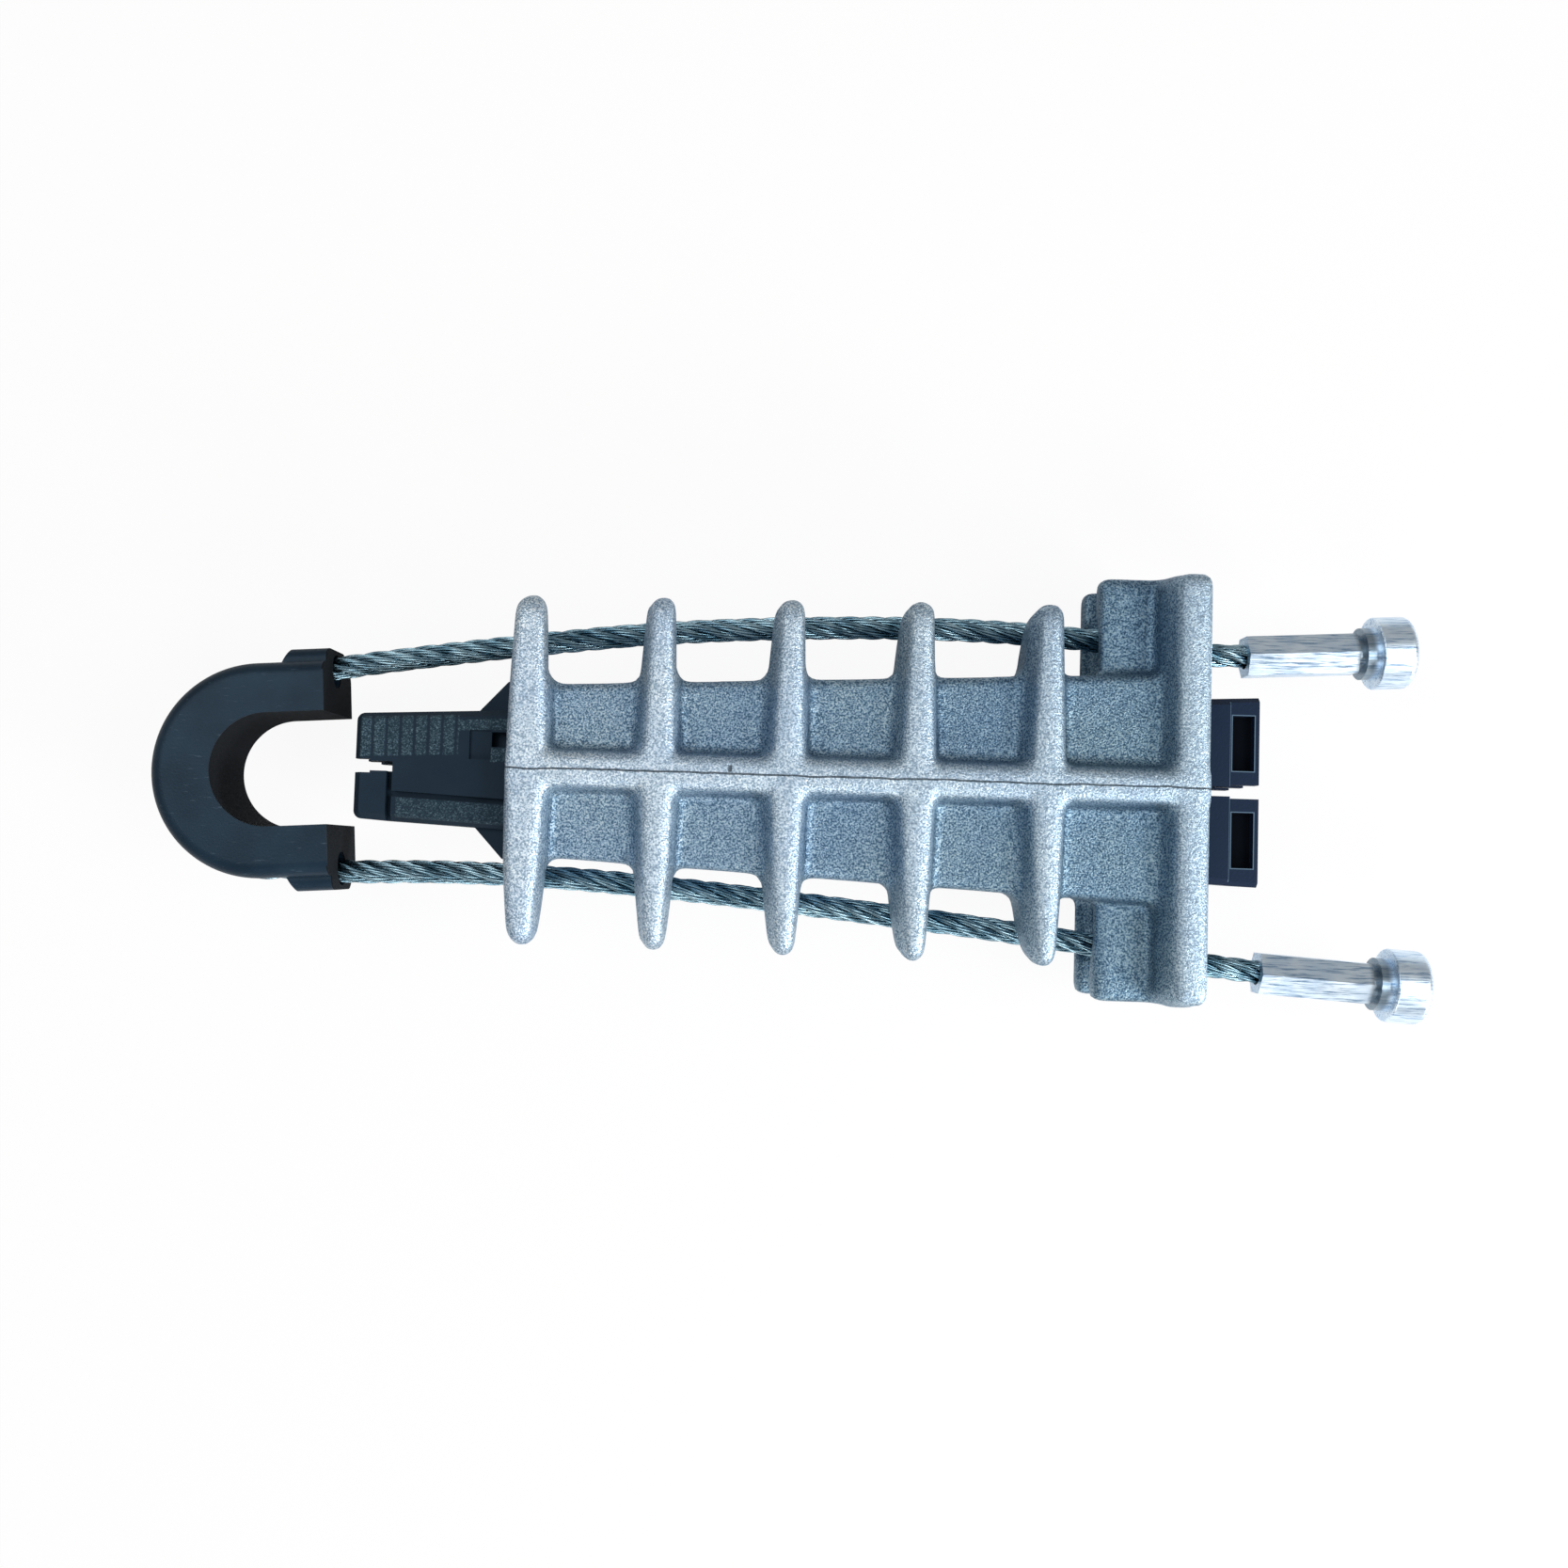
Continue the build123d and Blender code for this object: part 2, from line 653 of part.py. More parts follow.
for label, stop_start, stop_turn in (
    ("stop_upper", upper_stop_start, upper_stop_turn_deg),
    ("stop_lower", lower_stop_start, lower_stop_turn_deg),
):
    stop_part = make_stop(stop_start, stop_turn)
    stop_part.label = label
    export_step(stop_part, f"parts/{label}.step")
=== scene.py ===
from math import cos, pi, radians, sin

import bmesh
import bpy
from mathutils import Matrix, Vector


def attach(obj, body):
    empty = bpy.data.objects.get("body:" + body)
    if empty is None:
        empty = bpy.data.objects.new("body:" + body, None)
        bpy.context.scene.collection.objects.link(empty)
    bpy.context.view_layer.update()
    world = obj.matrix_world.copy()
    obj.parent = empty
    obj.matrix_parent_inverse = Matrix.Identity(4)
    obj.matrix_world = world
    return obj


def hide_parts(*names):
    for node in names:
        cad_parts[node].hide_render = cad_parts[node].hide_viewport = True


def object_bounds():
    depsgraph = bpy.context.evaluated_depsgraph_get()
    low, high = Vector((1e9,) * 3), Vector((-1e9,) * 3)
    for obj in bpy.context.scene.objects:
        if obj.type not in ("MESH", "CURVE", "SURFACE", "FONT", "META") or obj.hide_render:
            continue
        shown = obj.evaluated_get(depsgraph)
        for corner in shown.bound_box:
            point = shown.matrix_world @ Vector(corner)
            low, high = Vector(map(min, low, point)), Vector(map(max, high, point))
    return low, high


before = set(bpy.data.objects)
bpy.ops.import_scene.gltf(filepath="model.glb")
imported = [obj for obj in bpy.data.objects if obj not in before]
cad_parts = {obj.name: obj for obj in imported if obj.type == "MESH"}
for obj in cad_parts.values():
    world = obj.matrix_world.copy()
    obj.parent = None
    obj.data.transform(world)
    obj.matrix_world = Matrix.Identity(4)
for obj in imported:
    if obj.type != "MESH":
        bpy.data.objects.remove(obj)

# %% [markdown]
# # A wedge strain clamp on a white table
# The clamp grips a bundle of cable cores between two plastic wedges in a cast aluminium body.
# A loop of wire rope, the bail, carries it from a plastic saddle.
# The CAD model gives every solid its place and size. This scene adds the finishes, a stranded
# rope in place of the plain round bar, a table, a soft studio light and a camera.

MM = 0.001
cad_low, cad_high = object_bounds()
print("CAD box in mm:", [round(side / MM, 1) for side in cad_high - cad_low])

# %% [markdown]
# ## Camera
# The photograph looks straight down on the clamp from about 0.37 m, so close that the crests,
# which are nearer, look 7% larger than the rope legs behind them. A long lens would lose that,
# so the real distance is kept. The lens leans three degrees and the picture is rolled a little,
# because the clamp doesn't lie quite square in the photograph.

# %% Camera
CAMERA_FOOT = (-17.5 * MM, -20.0 * MM)
CAMERA_HEIGHT = 371 * MM
CAMERA_LEAN = radians(2.97)
CAMERA_SWAY = radians(-0.09)
CAMERA_ROLL = radians(1.745)
SENSOR_WIDTH_MM = 36
FOCAL_LENGTH_MM = 33.53
NEAREST_SEEN = 10 * MM

lens = bpy.data.cameras.new("camera")
lens.sensor_width = SENSOR_WIDTH_MM
lens.lens = FOCAL_LENGTH_MM
lens.clip_start = NEAREST_SEEN
camera = bpy.data.objects.new("camera", lens)
camera.location = (*CAMERA_FOOT, CAMERA_HEIGHT)
camera.rotation_euler = (CAMERA_LEAN, CAMERA_SWAY, CAMERA_ROLL)
bpy.context.scene.collection.objects.link(camera)
bpy.context.scene.camera = camera
print("camera stands", CAMERA_HEIGHT, "m above the cable axis")

# %% [markdown]
# ## Light
# The clamp was lit by a window at its wide end, and the room was bright beyond the saddle too.
# One large soft lamp stands at the wide end, and a low one beside it whitens the edges that face
# that way. A third, beside the lower leg, whitens the facets there, and the last lights the crests
# from the saddle's side. A plain world gives the metal something even to reflect, and a share of
# the white backdrop is mixed in for glossy rays, so bright metal shows the white room.
# All levels are plain, so a colour renders about as it is written.

# %% Lamps and world
WHITE = (1, 1, 1, 1)
ROOM_LEVEL = 0.14
BACKDROP_LEVEL = 1.0
GLOSSY_SHARE = 0.28
LAMPS = [
    # name, place and width in metres, watts
    ("window_lamp", (0.64, -0.14, 0.78), 0.45, 4.6),
    ("edge_lamp", (0.92, -0.56, 0.34), 0.25, 9.5),
    ("side_lamp", (0.05, -0.85, 0.55), 0.35, 2.8),
    ("fill_lamp", (-0.46, 0.20, 0.85), 0.5, 2.4),
]


def add_lamp(name, place, across, watts):
    """Adds a square area lamp that looks at the middle of the clamp."""
    glow = bpy.data.lights.new(name, "AREA")
    glow.shape = "SQUARE"
    glow.size = across
    glow.energy = watts
    lamp = bpy.data.objects.new(name, glow)
    lamp.location = place
    lamp.rotation_euler = (-Vector(place)).to_track_quat("-Z", "Y").to_euler()
    bpy.context.scene.collection.objects.link(lamp)


for row in LAMPS:
    add_lamp(*row)

room = bpy.data.worlds.new("room")
room.use_nodes = True
bpy.context.scene.world = room
room_nodes = room.node_tree.nodes
room_links = room.node_tree.links
room_nodes.clear()
room_output = room_nodes.new("ShaderNodeOutputWorld")
room_mix = room_nodes.new("ShaderNodeMixShader")
room_light = room_nodes.new("ShaderNodeBackground")
room_light.inputs["Color"].default_value = WHITE
room_light.inputs["Strength"].default_value = ROOM_LEVEL
room_backdrop = room_nodes.new("ShaderNodeBackground")
room_backdrop.inputs["Color"].default_value = WHITE
room_backdrop.inputs["Strength"].default_value = BACKDROP_LEVEL
room_ray = room_nodes.new("ShaderNodeLightPath")
room_share = room_nodes.new("ShaderNodeMath")
room_share.operation = "MULTIPLY_ADD"
room_share.use_clamp = True
room_share.inputs[1].default_value = GLOSSY_SHARE
room_links.new(room_ray.outputs["Is Glossy Ray"], room_share.inputs[0])
room_links.new(room_ray.outputs["Is Camera Ray"], room_share.inputs[2])
room_links.new(room_share.outputs[0], room_mix.inputs[0])
room_links.new(room_light.outputs[0], room_mix.inputs[1])
room_links.new(room_backdrop.outputs[0], room_mix.inputs[2])
room_links.new(room_mix.outputs[0], room_output.inputs["Surface"])

bpy.context.scene.view_settings.view_transform = "Standard"
print("lamps:", [row[0] for row in LAMPS])

# %% [markdown]
# ## Table
# The table is one flat face under the crests. Its white comes from its own colour and from a
# camera-ray glow mixed over it, never from more light on the clamp, and the mix keeps part of
# the soft shadow.

# %% Table
TABLE_HALF_WIDTH = 1.5
TABLE_COLOUR = (0.93, 0.93, 0.93, 1)
TABLE_GLOW = 1.0
TABLE_GLOW_SHARE = 0.93
TABLE_GAP = 0.02 * MM

table_sheet = bmesh.new()
bmesh.ops.create_grid(table_sheet, x_segments=1, y_segments=1, size=TABLE_HALF_WIDTH)
bmesh.ops.translate(table_sheet, vec=(0, 0, cad_low.z - TABLE_GAP), verts=table_sheet.verts)
table_mesh = bpy.data.meshes.new("table")
table_sheet.to_mesh(table_mesh)
table_sheet.free()
table = bpy.data.objects.new("table", table_mesh)
bpy.context.scene.collection.objects.link(table)

table_white = bpy.data.materials.new("table_white")
table_white.use_nodes = True
table_nodes = table_white.node_tree.nodes
table_links = table_white.node_tree.links
table_nodes.clear()
table_output = table_nodes.new("ShaderNodeOutputMaterial")
table_mix = table_nodes.new("ShaderNodeMixShader")
table_paint = table_nodes.new("ShaderNodeBsdfDiffuse")
table_paint.inputs["Color"].default_value = TABLE_COLOUR
table_glow = table_nodes.new("ShaderNodeEmission")
table_glow.inputs["Color"].default_value = WHITE
table_glow.inputs["Strength"].default_value = TABLE_GLOW
table_ray = table_nodes.new("ShaderNodeLightPath")
table_share = table_nodes.new("ShaderNodeMath")
table_share.operation = "MULTIPLY"
table_share.inputs[1].default_value = TABLE_GLOW_SHARE
table_links.new(table_ray.outputs["Is Camera Ray"], table_share.inputs[0])
table_links.new(table_share.outputs[0], table_mix.inputs[0])
table_links.new(table_paint.outputs[0], table_mix.inputs[1])
table_links.new(table_glow.outputs[0], table_mix.inputs[2])
table_links.new(table_mix.outputs[0], table_output.inputs["Surface"])
table_mesh.materials.append(table_white)
print("table at", round(cad_low.z / MM, 1), "mm")

# %% [markdown]
# ## The bail's route
# The rope runs from one pressed stop along the clamp, round the saddle and back to the other
# stop. The clamp holds it all the way, so its route is the CAD route, point by point. A NURBS
# spline of order 3 runs smoothly near those points, and in the saddle four corners of 45
# degrees keep it in the groove.

# %% Route points, in millimetres, from the CAD part
SADDLE_CENTRE = Vector((-145.2, -1.6, 0))
SADDLE_TURN = radians(4)
GROOVE_RADIUS = 24.1
CROWN_SHIFT = 2.5
LEG_LENGTH = 14.6
LEG_EXIT = 26.0
LEG_BEND_START = 4.0
BORE_DEPTH = 24.0
STOP_APPROACH = 7.0


def on_saddle(along, across):
    """A point of the saddle's own plane, whose first axis runs from its crown to its legs."""
    ahead = Vector((cos(SADDLE_TURN), sin(SADDLE_TURN), 0))
    aside = Vector((-sin(SADDLE_TURN), cos(SADDLE_TURN), 0))
    return SADDLE_CENTRE + along * ahead + across * aside


def on_stop(start, turn_deg, distance):
    """A point on a stop's axis, measured from where the rope enters it."""
    turn = radians(turn_deg)
    return Vector(start) + distance * Vector((cos(turn), sin(turn), 0))


def crown_corner(angle_deg):
    """A corner of the crown's polygon, whose sides just touch the groove's centre line."""
    reach = GROOVE_RADIUS / cos(radians(22.5))
    angle = radians(angle_deg)
    return on_saddle(-CROWN_SHIFT + reach * cos(angle), reach * sin(angle))


# where the rope enters each stop, and the stop's turn in degrees
UPPER_STOP = ((99.0, 35.2, 0), 3.4)
LOWER_STOP = ((103.2, -44.9, 0), -3.6)
upper_leg = [(75, 37), (48, 39.4), (18, 40.3), (-18, 39.2), (-52, 36.8), (-84, 32.7), (-111, 28.8)]
lower_leg = [(-106, -25.6), (-80, -25.9), (-52, -27.5), (-22, -30.1), (10, -33.2), (42, -36.6), (74, -40.6)]

route = [on_stop(*UPPER_STOP, BORE_DEPTH), on_stop(*UPPER_STOP, -STOP_APPROACH)]
route += [Vector((x, y, 0)) for x, y in upper_leg]
route += [on_saddle(LEG_LENGTH, LEG_EXIT), on_saddle(LEG_BEND_START, GROOVE_RADIUS)]
route += [crown_corner(angle) for angle in (112.5, 157.5, 202.5, 247.5)]
route += [on_saddle(LEG_BEND_START, -GROOVE_RADIUS), on_saddle(LEG_LENGTH, -LEG_EXIT)]
route += [Vector((x, y, 0)) for x, y in lower_leg]
route += [on_stop(*LOWER_STOP, -STOP_APPROACH), on_stop(*LOWER_STOP, BORE_DEPTH)]
print("route points:", len(route))

# %% The route's spline, read back as a fine line
SPLINE_STEPS = 24

route_curve = bpy.data.curves.new("rope_route", "CURVE")
route_curve.dimensions = "3D"
route_curve.resolution_u = SPLINE_STEPS
route_spline = route_curve.splines.new("NURBS")
route_spline.points.add(len(route) - 1)
for control, place in zip(route_spline.points, route):
    control.co = (*(place * MM), 1)
route_spline.order_u = 3
route_spline.use_endpoint_u = True
route_object = bpy.data.objects.new("rope_route", route_curve)
bpy.context.scene.collection.objects.link(route_object)
bpy.context.view_layer.update()
route_line = bpy.data.meshes.new_from_object(route_object)
line_points = [vertex.co.copy() for vertex in route_line.vertices]
bpy.data.objects.remove(route_object)

line_length = sum((b - a).length for a, b in zip(line_points, line_points[1:]))
print("rope length along the spline:", round(line_length / MM, 1), "mm")

# %% [markdown]
# ## Rope strands
# The bail is a 6 mm rope of six strands round a core, and each strand is six wires laid round a
# king wire the other way, which is ordinary lay: the strands slant and the wires look nearly
# straight. A bump map would give no real outline, so every wire is modelled. Each strand is one
# curve object with seven thin splines, given a round bevel and then made a mesh.

# %% Stations along the rope
STATION_PITCH = 1.1 * MM


def even_stations(points, pitch):
    """Distances, places and directions at even steps along a line of points."""
    reached = [0.0]
    for a, b in zip(points, points[1:]):
        reached.append(reached[-1] + (b - a).length)
    count = round(reached[-1] / pitch)
    steps = [reached[-1] * index / count for index in range(count + 1)]
    places = []
    segment = 0
    for step in steps:
        while segment < len(points) - 2 and reached[segment + 1] < step:
            segment += 1
        share = (step - reached[segment]) / (reached[segment + 1] - reached[segment])
        places.append(points[segment].lerp(points[segment + 1], share))
    directions = []
    for index in range(len(places)):
        before = places[max(index - 1, 0)]
        after = places[min(index + 1, len(places) - 1)]
        directions.append((after - before).normalized())
    return list(zip(steps, places, directions))


stations = even_stations(line_points, STATION_PITCH)
print("stations:", len(stations))

# %% Strands and wires
ROPE_RADIUS = 3.0 * MM
STRAND_RADIUS = ROPE_RADIUS / 3
STRAND_HELIX = ROPE_RADIUS - STRAND_RADIUS
STRAND_LAY = 38 * MM
STRAND_COUNT = 6
WIRE_RADIUS = STRAND_RADIUS / 3
WIRE_HELIX = STRAND_RADIUS - WIRE_RADIUS
WIRE_LAY = 17 * MM
WIRE_COUNT = 6
UP = Vector((0, 0, 1))


def helix_place(place, ahead, radius, angle):
    """A point at a radius and angle round a line that lies flat."""
    aside = UP.cross(ahead).normalized()
    return place + radius * (cos(angle) * aside + sin(angle) * UP)


def strand_centres(strand):
    """The centre line of one strand, which winds right-handed round the rope."""
    phase = 2 * pi * strand / STRAND_COUNT
    return [
        helix_place(place, ahead, STRAND_HELIX, 2 * pi * along / STRAND_LAY + phase)
        for along, place, ahead in stations
    ]


def wire_places(centres, wire):
    """One wire, which winds left-handed round its strand's centre line."""
    phase = 2 * pi * wire / WIRE_COUNT
    places = []
    for index, (along, place, ahead) in enumerate(stations):
        outward = (centres[index] - place).normalized()
        around = ahead.cross(outward).normalized()
        angle = phase - 2 * pi * along / WIRE_LAY
        places.append(centres[index] + WIRE_HELIX * (cos(angle) * outward + sin(angle) * around))
    return places


def wires_as_mesh(name, lines, radius):
    """Round wires along lines of points, closed at their ends, as one mesh object."""
    curve = bpy.data.curves.new(name, "CURVE")
    curve.dimensions = "3D"
    curve.bevel_depth = radius
    curve.bevel_resolution = 1
    curve.use_fill_caps = True
    for line in lines:
        spline = curve.splines.new("POLY")
        spline.points.add(len(line) - 1)
        for point, place in zip(spline.points, line):
            point.co = (*place, 1)
    draft = bpy.data.objects.new(name + "_draft", curve)
    bpy.context.scene.collection.objects.link(draft)
    bpy.context.view_layer.update()
    mesh = bpy.data.meshes.new_from_object(draft)
    bpy.data.objects.remove(draft)
    mesh.name = name
    mesh.shade_smooth()
    piece = bpy.data.objects.new(name, mesh)
    bpy.context.scene.collection.objects.link(piece)
    return piece


rope_pieces = []
for strand in range(STRAND_COUNT):
    centres = strand_centres(strand)
    lines = [wire_places(centres, wire) for wire in range(WIRE_COUNT)]
    lines.append(centres)
    rope_pieces.append(wires_as_mesh(f"rope_strand_{strand + 1}", lines, WIRE_RADIUS))
rope_core = wires_as_mesh("rope_core", [[place for _, place, _ in stations]], STRAND_RADIUS)
rope_pieces.append(rope_core)

for piece in rope_pieces:
    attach(piece, "bail")
    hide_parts("wire_rope")
print("rope pieces:", [(piece.name, len(piece.data.polygons)) for piece in rope_pieces[:2]])

# %% [markdown]
# ## Cast body with soft fillets
# A sand casting has no crisp corner: the sand rounds every edge, and broad fillets let the metal
# flow from the panels up into the ribs. The CAD solid has plain drafted faces, so a merged copy of
# it is remeshed into small even faces, and its outside is smoothed, which rounds the crests and
# fills the roots in one go. The cavity keeps its walls, because the wedges run close to them.

# %% Even faces from a merged copy
MERGE_WITHIN = 0.001 * MM
EVEN_FACE = 1.05 * MM

cast_copy = bmesh.new()
cast_copy.from_mesh(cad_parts["cast_body"].data)
bmesh.ops.remove_doubles(cast_copy, verts=cast_copy.verts, dist=MERGE_WITHIN)
draft_mesh = bpy.data.meshes.new("casting_draft")
cast_copy.to_mesh(draft_mesh)
cast_copy.free()
draft = bpy.data.objects.new("casting_draft", draft_mesh)
bpy.context.scene.collection.objects.link(draft)
even_faces = draft.modifiers.new("even_faces", "REMESH")
even_faces.mode = "VOXEL"
even_faces.voxel_size = EVEN_FACE
bpy.context.view_layer.update()
even_mesh = bpy.data.meshes.new_from_object(draft.evaluated_get(bpy.context.evaluated_depsgraph_get()))
bpy.data.objects.remove(draft)
print("even faces of the casting:", len(even_mesh.polygons))

# %% Smoothing outside the cavity
BOX_HALF_WIDTH = 24.7
BOX_TAPER = 0.0468
CAVITY_HALF_WIDTH = 19.0
CAVITY_HALF_HEIGHT = 14.5
WALL_MARGIN = 0.8
SMOOTHING_ROUNDS = 3
SMOOTHING = 0.5

casting_sheet = bmesh.new()
casting_sheet.from_mesh(even_mesh)


def in_cavity(place):
    """True on the cavity's walls, for a place in millimetres."""
    beside = abs(place.y) < CAVITY_HALF_WIDTH + place.x * BOX_TAPER + WALL_MARGIN
    return beside and abs(place.z) < CAVITY_HALF_HEIGHT + WALL_MARGIN


outside = [vertex for vertex in casting_sheet.verts if not in_cavity(vertex.co / MM)]
for _ in range(SMOOTHING_ROUNDS):
    bmesh.ops.smooth_vert(
        casting_sheet, verts=outside, factor=SMOOTHING, use_axis_x=True, use_axis_y=True, use_axis_z=True
    )
print("smoothed corners:", len(outside), "of", len(casting_sheet.verts))

# %% [markdown]
# The ribs have more draft on their narrow-end side: that flank leans well out, and the other one
# is nearly upright. A shift along X that grows from the crest down to the panel, and fades out
# across the panel, gives both flanks their lean. Its sizes are in millimetres.

# %% Flanks that lean more on one side
CREST_HEIGHT = 26.0
PANEL_HEIGHT = 18.0
LEANING_EDGES = [-51.5, -20.5, 10.5, 41.5, 76.0]
UPRIGHT_EDGES = [-74.4, -43.7, -12.7, 18.3, 49.3]
LEAN = 1.4
UPRIGHT_PULL = 0.5
EDGE_ROUND = 0.5
LEAN_RISE = 1.7
LEANING_FADE = (3.5, 10.0)
UPRIGHT_FADE = (3.0, 7.0)


def flank_share(from_edge, fade_start, fade_end):
    """How much of a flank's shift a place gets, by its distance outwards from the crest's edge."""
    rise = min(max((from_edge + EDGE_ROUND) / LEAN_RISE, 0), 1)
    fade = min(max((fade_end - from_edge) / (fade_end - fade_start), 0), 1)
    return rise * fade


for vertex in outside:
    place = vertex.co / MM
    below = min((CREST_HEIGHT - abs(place.z)) / (CREST_HEIGHT - PANEL_HEIGHT), 1)
    lean = sum(flank_share(edge - place.x, *LEANING_FADE) for edge in LEANING_EDGES)
    pull = sum(flank_share(place.x - edge, *UPRIGHT_FADE) for edge in UPRIGHT_EDGES)
    vertex.co.x -= (LEAN * lean + UPRIGHT_PULL * pull) * below * MM
print("flanks lean", LEAN, "mm more towards the narrow end")

# %% [markdown]
# The ribs' arms reach out over the rope. In the photograph each one is a finger that grows
# shallower and narrower towards its tip, most of all on the side of the lower rope leg, and the
# arms at the narrow end are thinner underneath. Small moves of their corners give that shape,
# again in millimetres, and they only lead away from the rope.

# %% Arms that grow shallow and thin
RIB_HALF_WIDTH = 8.0
TIP_FLOOR = 15.5
LOWER_THINNING_SHARE = 0.4
LOWER_NARROWING = 0.30
UPPER_NARROWING = 0.10
NARROWING_POWER = 1.7
RISING_POWER = 2.4
SETTLING_LENGTH = 3
ARMS_FROM_Z = 2
ARMS = [
    # centre along X, tip, underside, how much thinner underneath
    (-79.2, 42.2, 12.0, 0.50),
    (-47.6, 42.5, 9.9, 0.50),
    (-16.6, 42.8, 7.8, 0.40),
    (14.4, 43.1, 5.7, 0.20),
    (45.4, 43.4, 3.6, 0.0),
]


def shape_arm(place, centre, tip, underside, thinning):
    """The new place of an arm's corner, in millimetres."""
    side = BOX_HALF_WIDTH + place.x * BOX_TAPER
    reach = min((abs(place.y) - side) / (tip - side), 1)
    depth = min((CREST_HEIGHT - place.z) / (CREST_HEIGHT - underside), 1)
    settled = min((abs(place.y) - side) / SETTLING_LENGTH, 1)
    narrowing = UPPER_NARROWING
    if place.y < 0:
        narrowing = LOWER_NARROWING
        thinning *= LOWER_THINNING_SHARE
    from_centre = (place.x - centre) * (1 - narrowing * reach**NARROWING_POWER)
    if from_centre > 0:
        from_centre *= 1 - thinning * depth * settled
    z = place.z + depth * reach**RISING_POWER * (TIP_FLOOR - underside)
    return Vector((centre + from_centre, place.y, z))


moved = 0
for vertex in casting_sheet.verts:
    place = vertex.co / MM
    if place.z < ARMS_FROM_Z or abs(place.y) < BOX_HALF_WIDTH + place.x * BOX_TAPER:
        continue
    for centre, tip, underside, thinning in ARMS:
        if abs(place.x - centre) < RIB_HALF_WIDTH:
            vertex.co = shape_arm(place, centre, tip, underside, thinning) * MM
            moved += 1
casting_sheet.to_mesh(even_mesh)
casting_sheet.free()
even_mesh.name = "casting"
even_mesh.shade_smooth()
casting = bpy.data.objects.new("casting", even_mesh)
bpy.context.scene.collection.objects.link(casting)
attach(casting, "casting")
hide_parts("cast_body")
print("arm corners moved:", moved)

# %% [markdown]
# ## Finishes
# Every finish is a node material on Object coordinates, which for this scene are metres in the
# clamp's own frame. A small helper starts each one with a Principled shader and the coordinates,
# and the next helpers add a noise, a ramp or a mask, so each finish reads as a short list.

# %% Finish helpers
def start_finish(name, metallic):
    """A new material, its node tree, its Principled shader and its Object coordinates."""
    finish = bpy.data.materials.new(name)
    finish.use_nodes = True
    tree = finish.node_tree
    tree.nodes.clear()
    output = tree.nodes.new("ShaderNodeOutputMaterial")
    shader = tree.nodes.new("ShaderNodeBsdfPrincipled")
    shader.inputs["Metallic"].default_value = metallic
    tree.links.new(shader.outputs[0], output.inputs["Surface"])
    place = tree.nodes.new("ShaderNodeTexCoord").outputs["Object"]
    return finish, tree, shader, place


def split_place(tree, place):
    """The X, Y and Z of a place."""
    axes = tree.nodes.new("ShaderNodeSeparateXYZ")
    tree.links.new(place, axes.inputs[0])
    return axes.outputs


def grey(level):
    """A plain grey."""
    return (level, level, level)


def add_noise(tree, place, size, detail=2.0, roughness=0.5):
    """Noise whose spots are about this size in metres."""
    noise = tree.nodes.new("ShaderNodeTexNoise")
    noise.inputs["Scale"].default_value = 1 / size
    noise.inputs["Detail"].default_value = detail
    noise.inputs["Roughness"].default_value = roughness
    tree.links.new(place, noise.inputs["Vector"])
    return noise.outputs["Fac"]


def add_ramp(tree, source, *stops):
    """A colour ramp from (position, colour) pairs."""
    ramp = tree.nodes.new("ShaderNodeValToRGB")
    marks = ramp.color_ramp.elements
    while len(marks) < len(stops):
        marks.new(1.0)
    for mark, (position, colour) in zip(marks, stops):
        mark.position = position
        mark.color = (*colour, 1)
    tree.links.new(source, ramp.inputs["Fac"])
    return ramp.outputs["Color"]


def add_math(tree, operation, first, second=None, clamp=False):
    """A Math node whose inputs are links or plain numbers."""
    node = tree.nodes.new("ShaderNodeMath")
    node.operation = operation
    node.use_clamp = clamp
    for socket, value in zip(node.inputs, (first, second)):
        if value is None:
            continue
        if isinstance(value, (int, float)):
            socket.default_value = value
        else:
            tree.links.new(value, socket)
    return node.outputs[0]


def add_blend(tree, share, first, second, way="MIX"):
    """A colour mix whose share and colours are links or plain values."""
    node = tree.nodes.new("ShaderNodeMix")
    node.data_type = "RGBA"
    node.blend_type = way
    sockets = (node.inputs[0], node.inputs[6], node.inputs[7])
    for socket, value in zip(sockets, (share, first, second)):
        if isinstance(value, (int, float)):
            socket.default_value = value
        elif isinstance(value, tuple):
            socket.default_value = (*value, 1)
        else:
            tree.links.new(value, socket)
    return node.outputs[2]


def tint(tree, first, second):
    """Two colours multiplied."""
    return add_blend(tree, 1.0, first, second, "MULTIPLY")


def add_bump(tree, shader, height, depth):
    """Relief of this depth in metres on a shader."""
    bump = tree.nodes.new("ShaderNodeBump")
    bump.inputs["Distance"].default_value = depth
    bump.inputs["Strength"].default_value = 1.0
    tree.links.new(height, bump.inputs["Height"])
    tree.links.new(bump.outputs["Normal"], shader.inputs["Normal"])


def band(tree, coordinate, centre, half_width, soft):
    """1 inside a band of a coordinate, falling to 0 over a soft edge."""
    away = add_math(tree, "ABSOLUTE", add_math(tree, "SUBTRACT", coordinate, centre))
    over = add_math(tree, "SUBTRACT", half_width + soft, away)
    return add_math(tree, "DIVIDE", over, soft, clamp=True)


def climb(tree, coordinate, start, length):
    """0 up to a start, then rising to 1 over a length."""
    past = add_math(tree, "SUBTRACT", coordinate, start)
    return add_math(tree, "DIVIDE", past, length, clamp=True)


def finish_node(name, finish):
    """Gives a CAD node a finish in all its material slots."""
    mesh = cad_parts[name].data
    for slot in range(max(len(mesh.materials), 1)):
        if slot < len(mesh.materials):
            mesh.materials[slot] = finish
        else:
            mesh.materials.append(finish)
    print(name, "is finished in", finish.name)


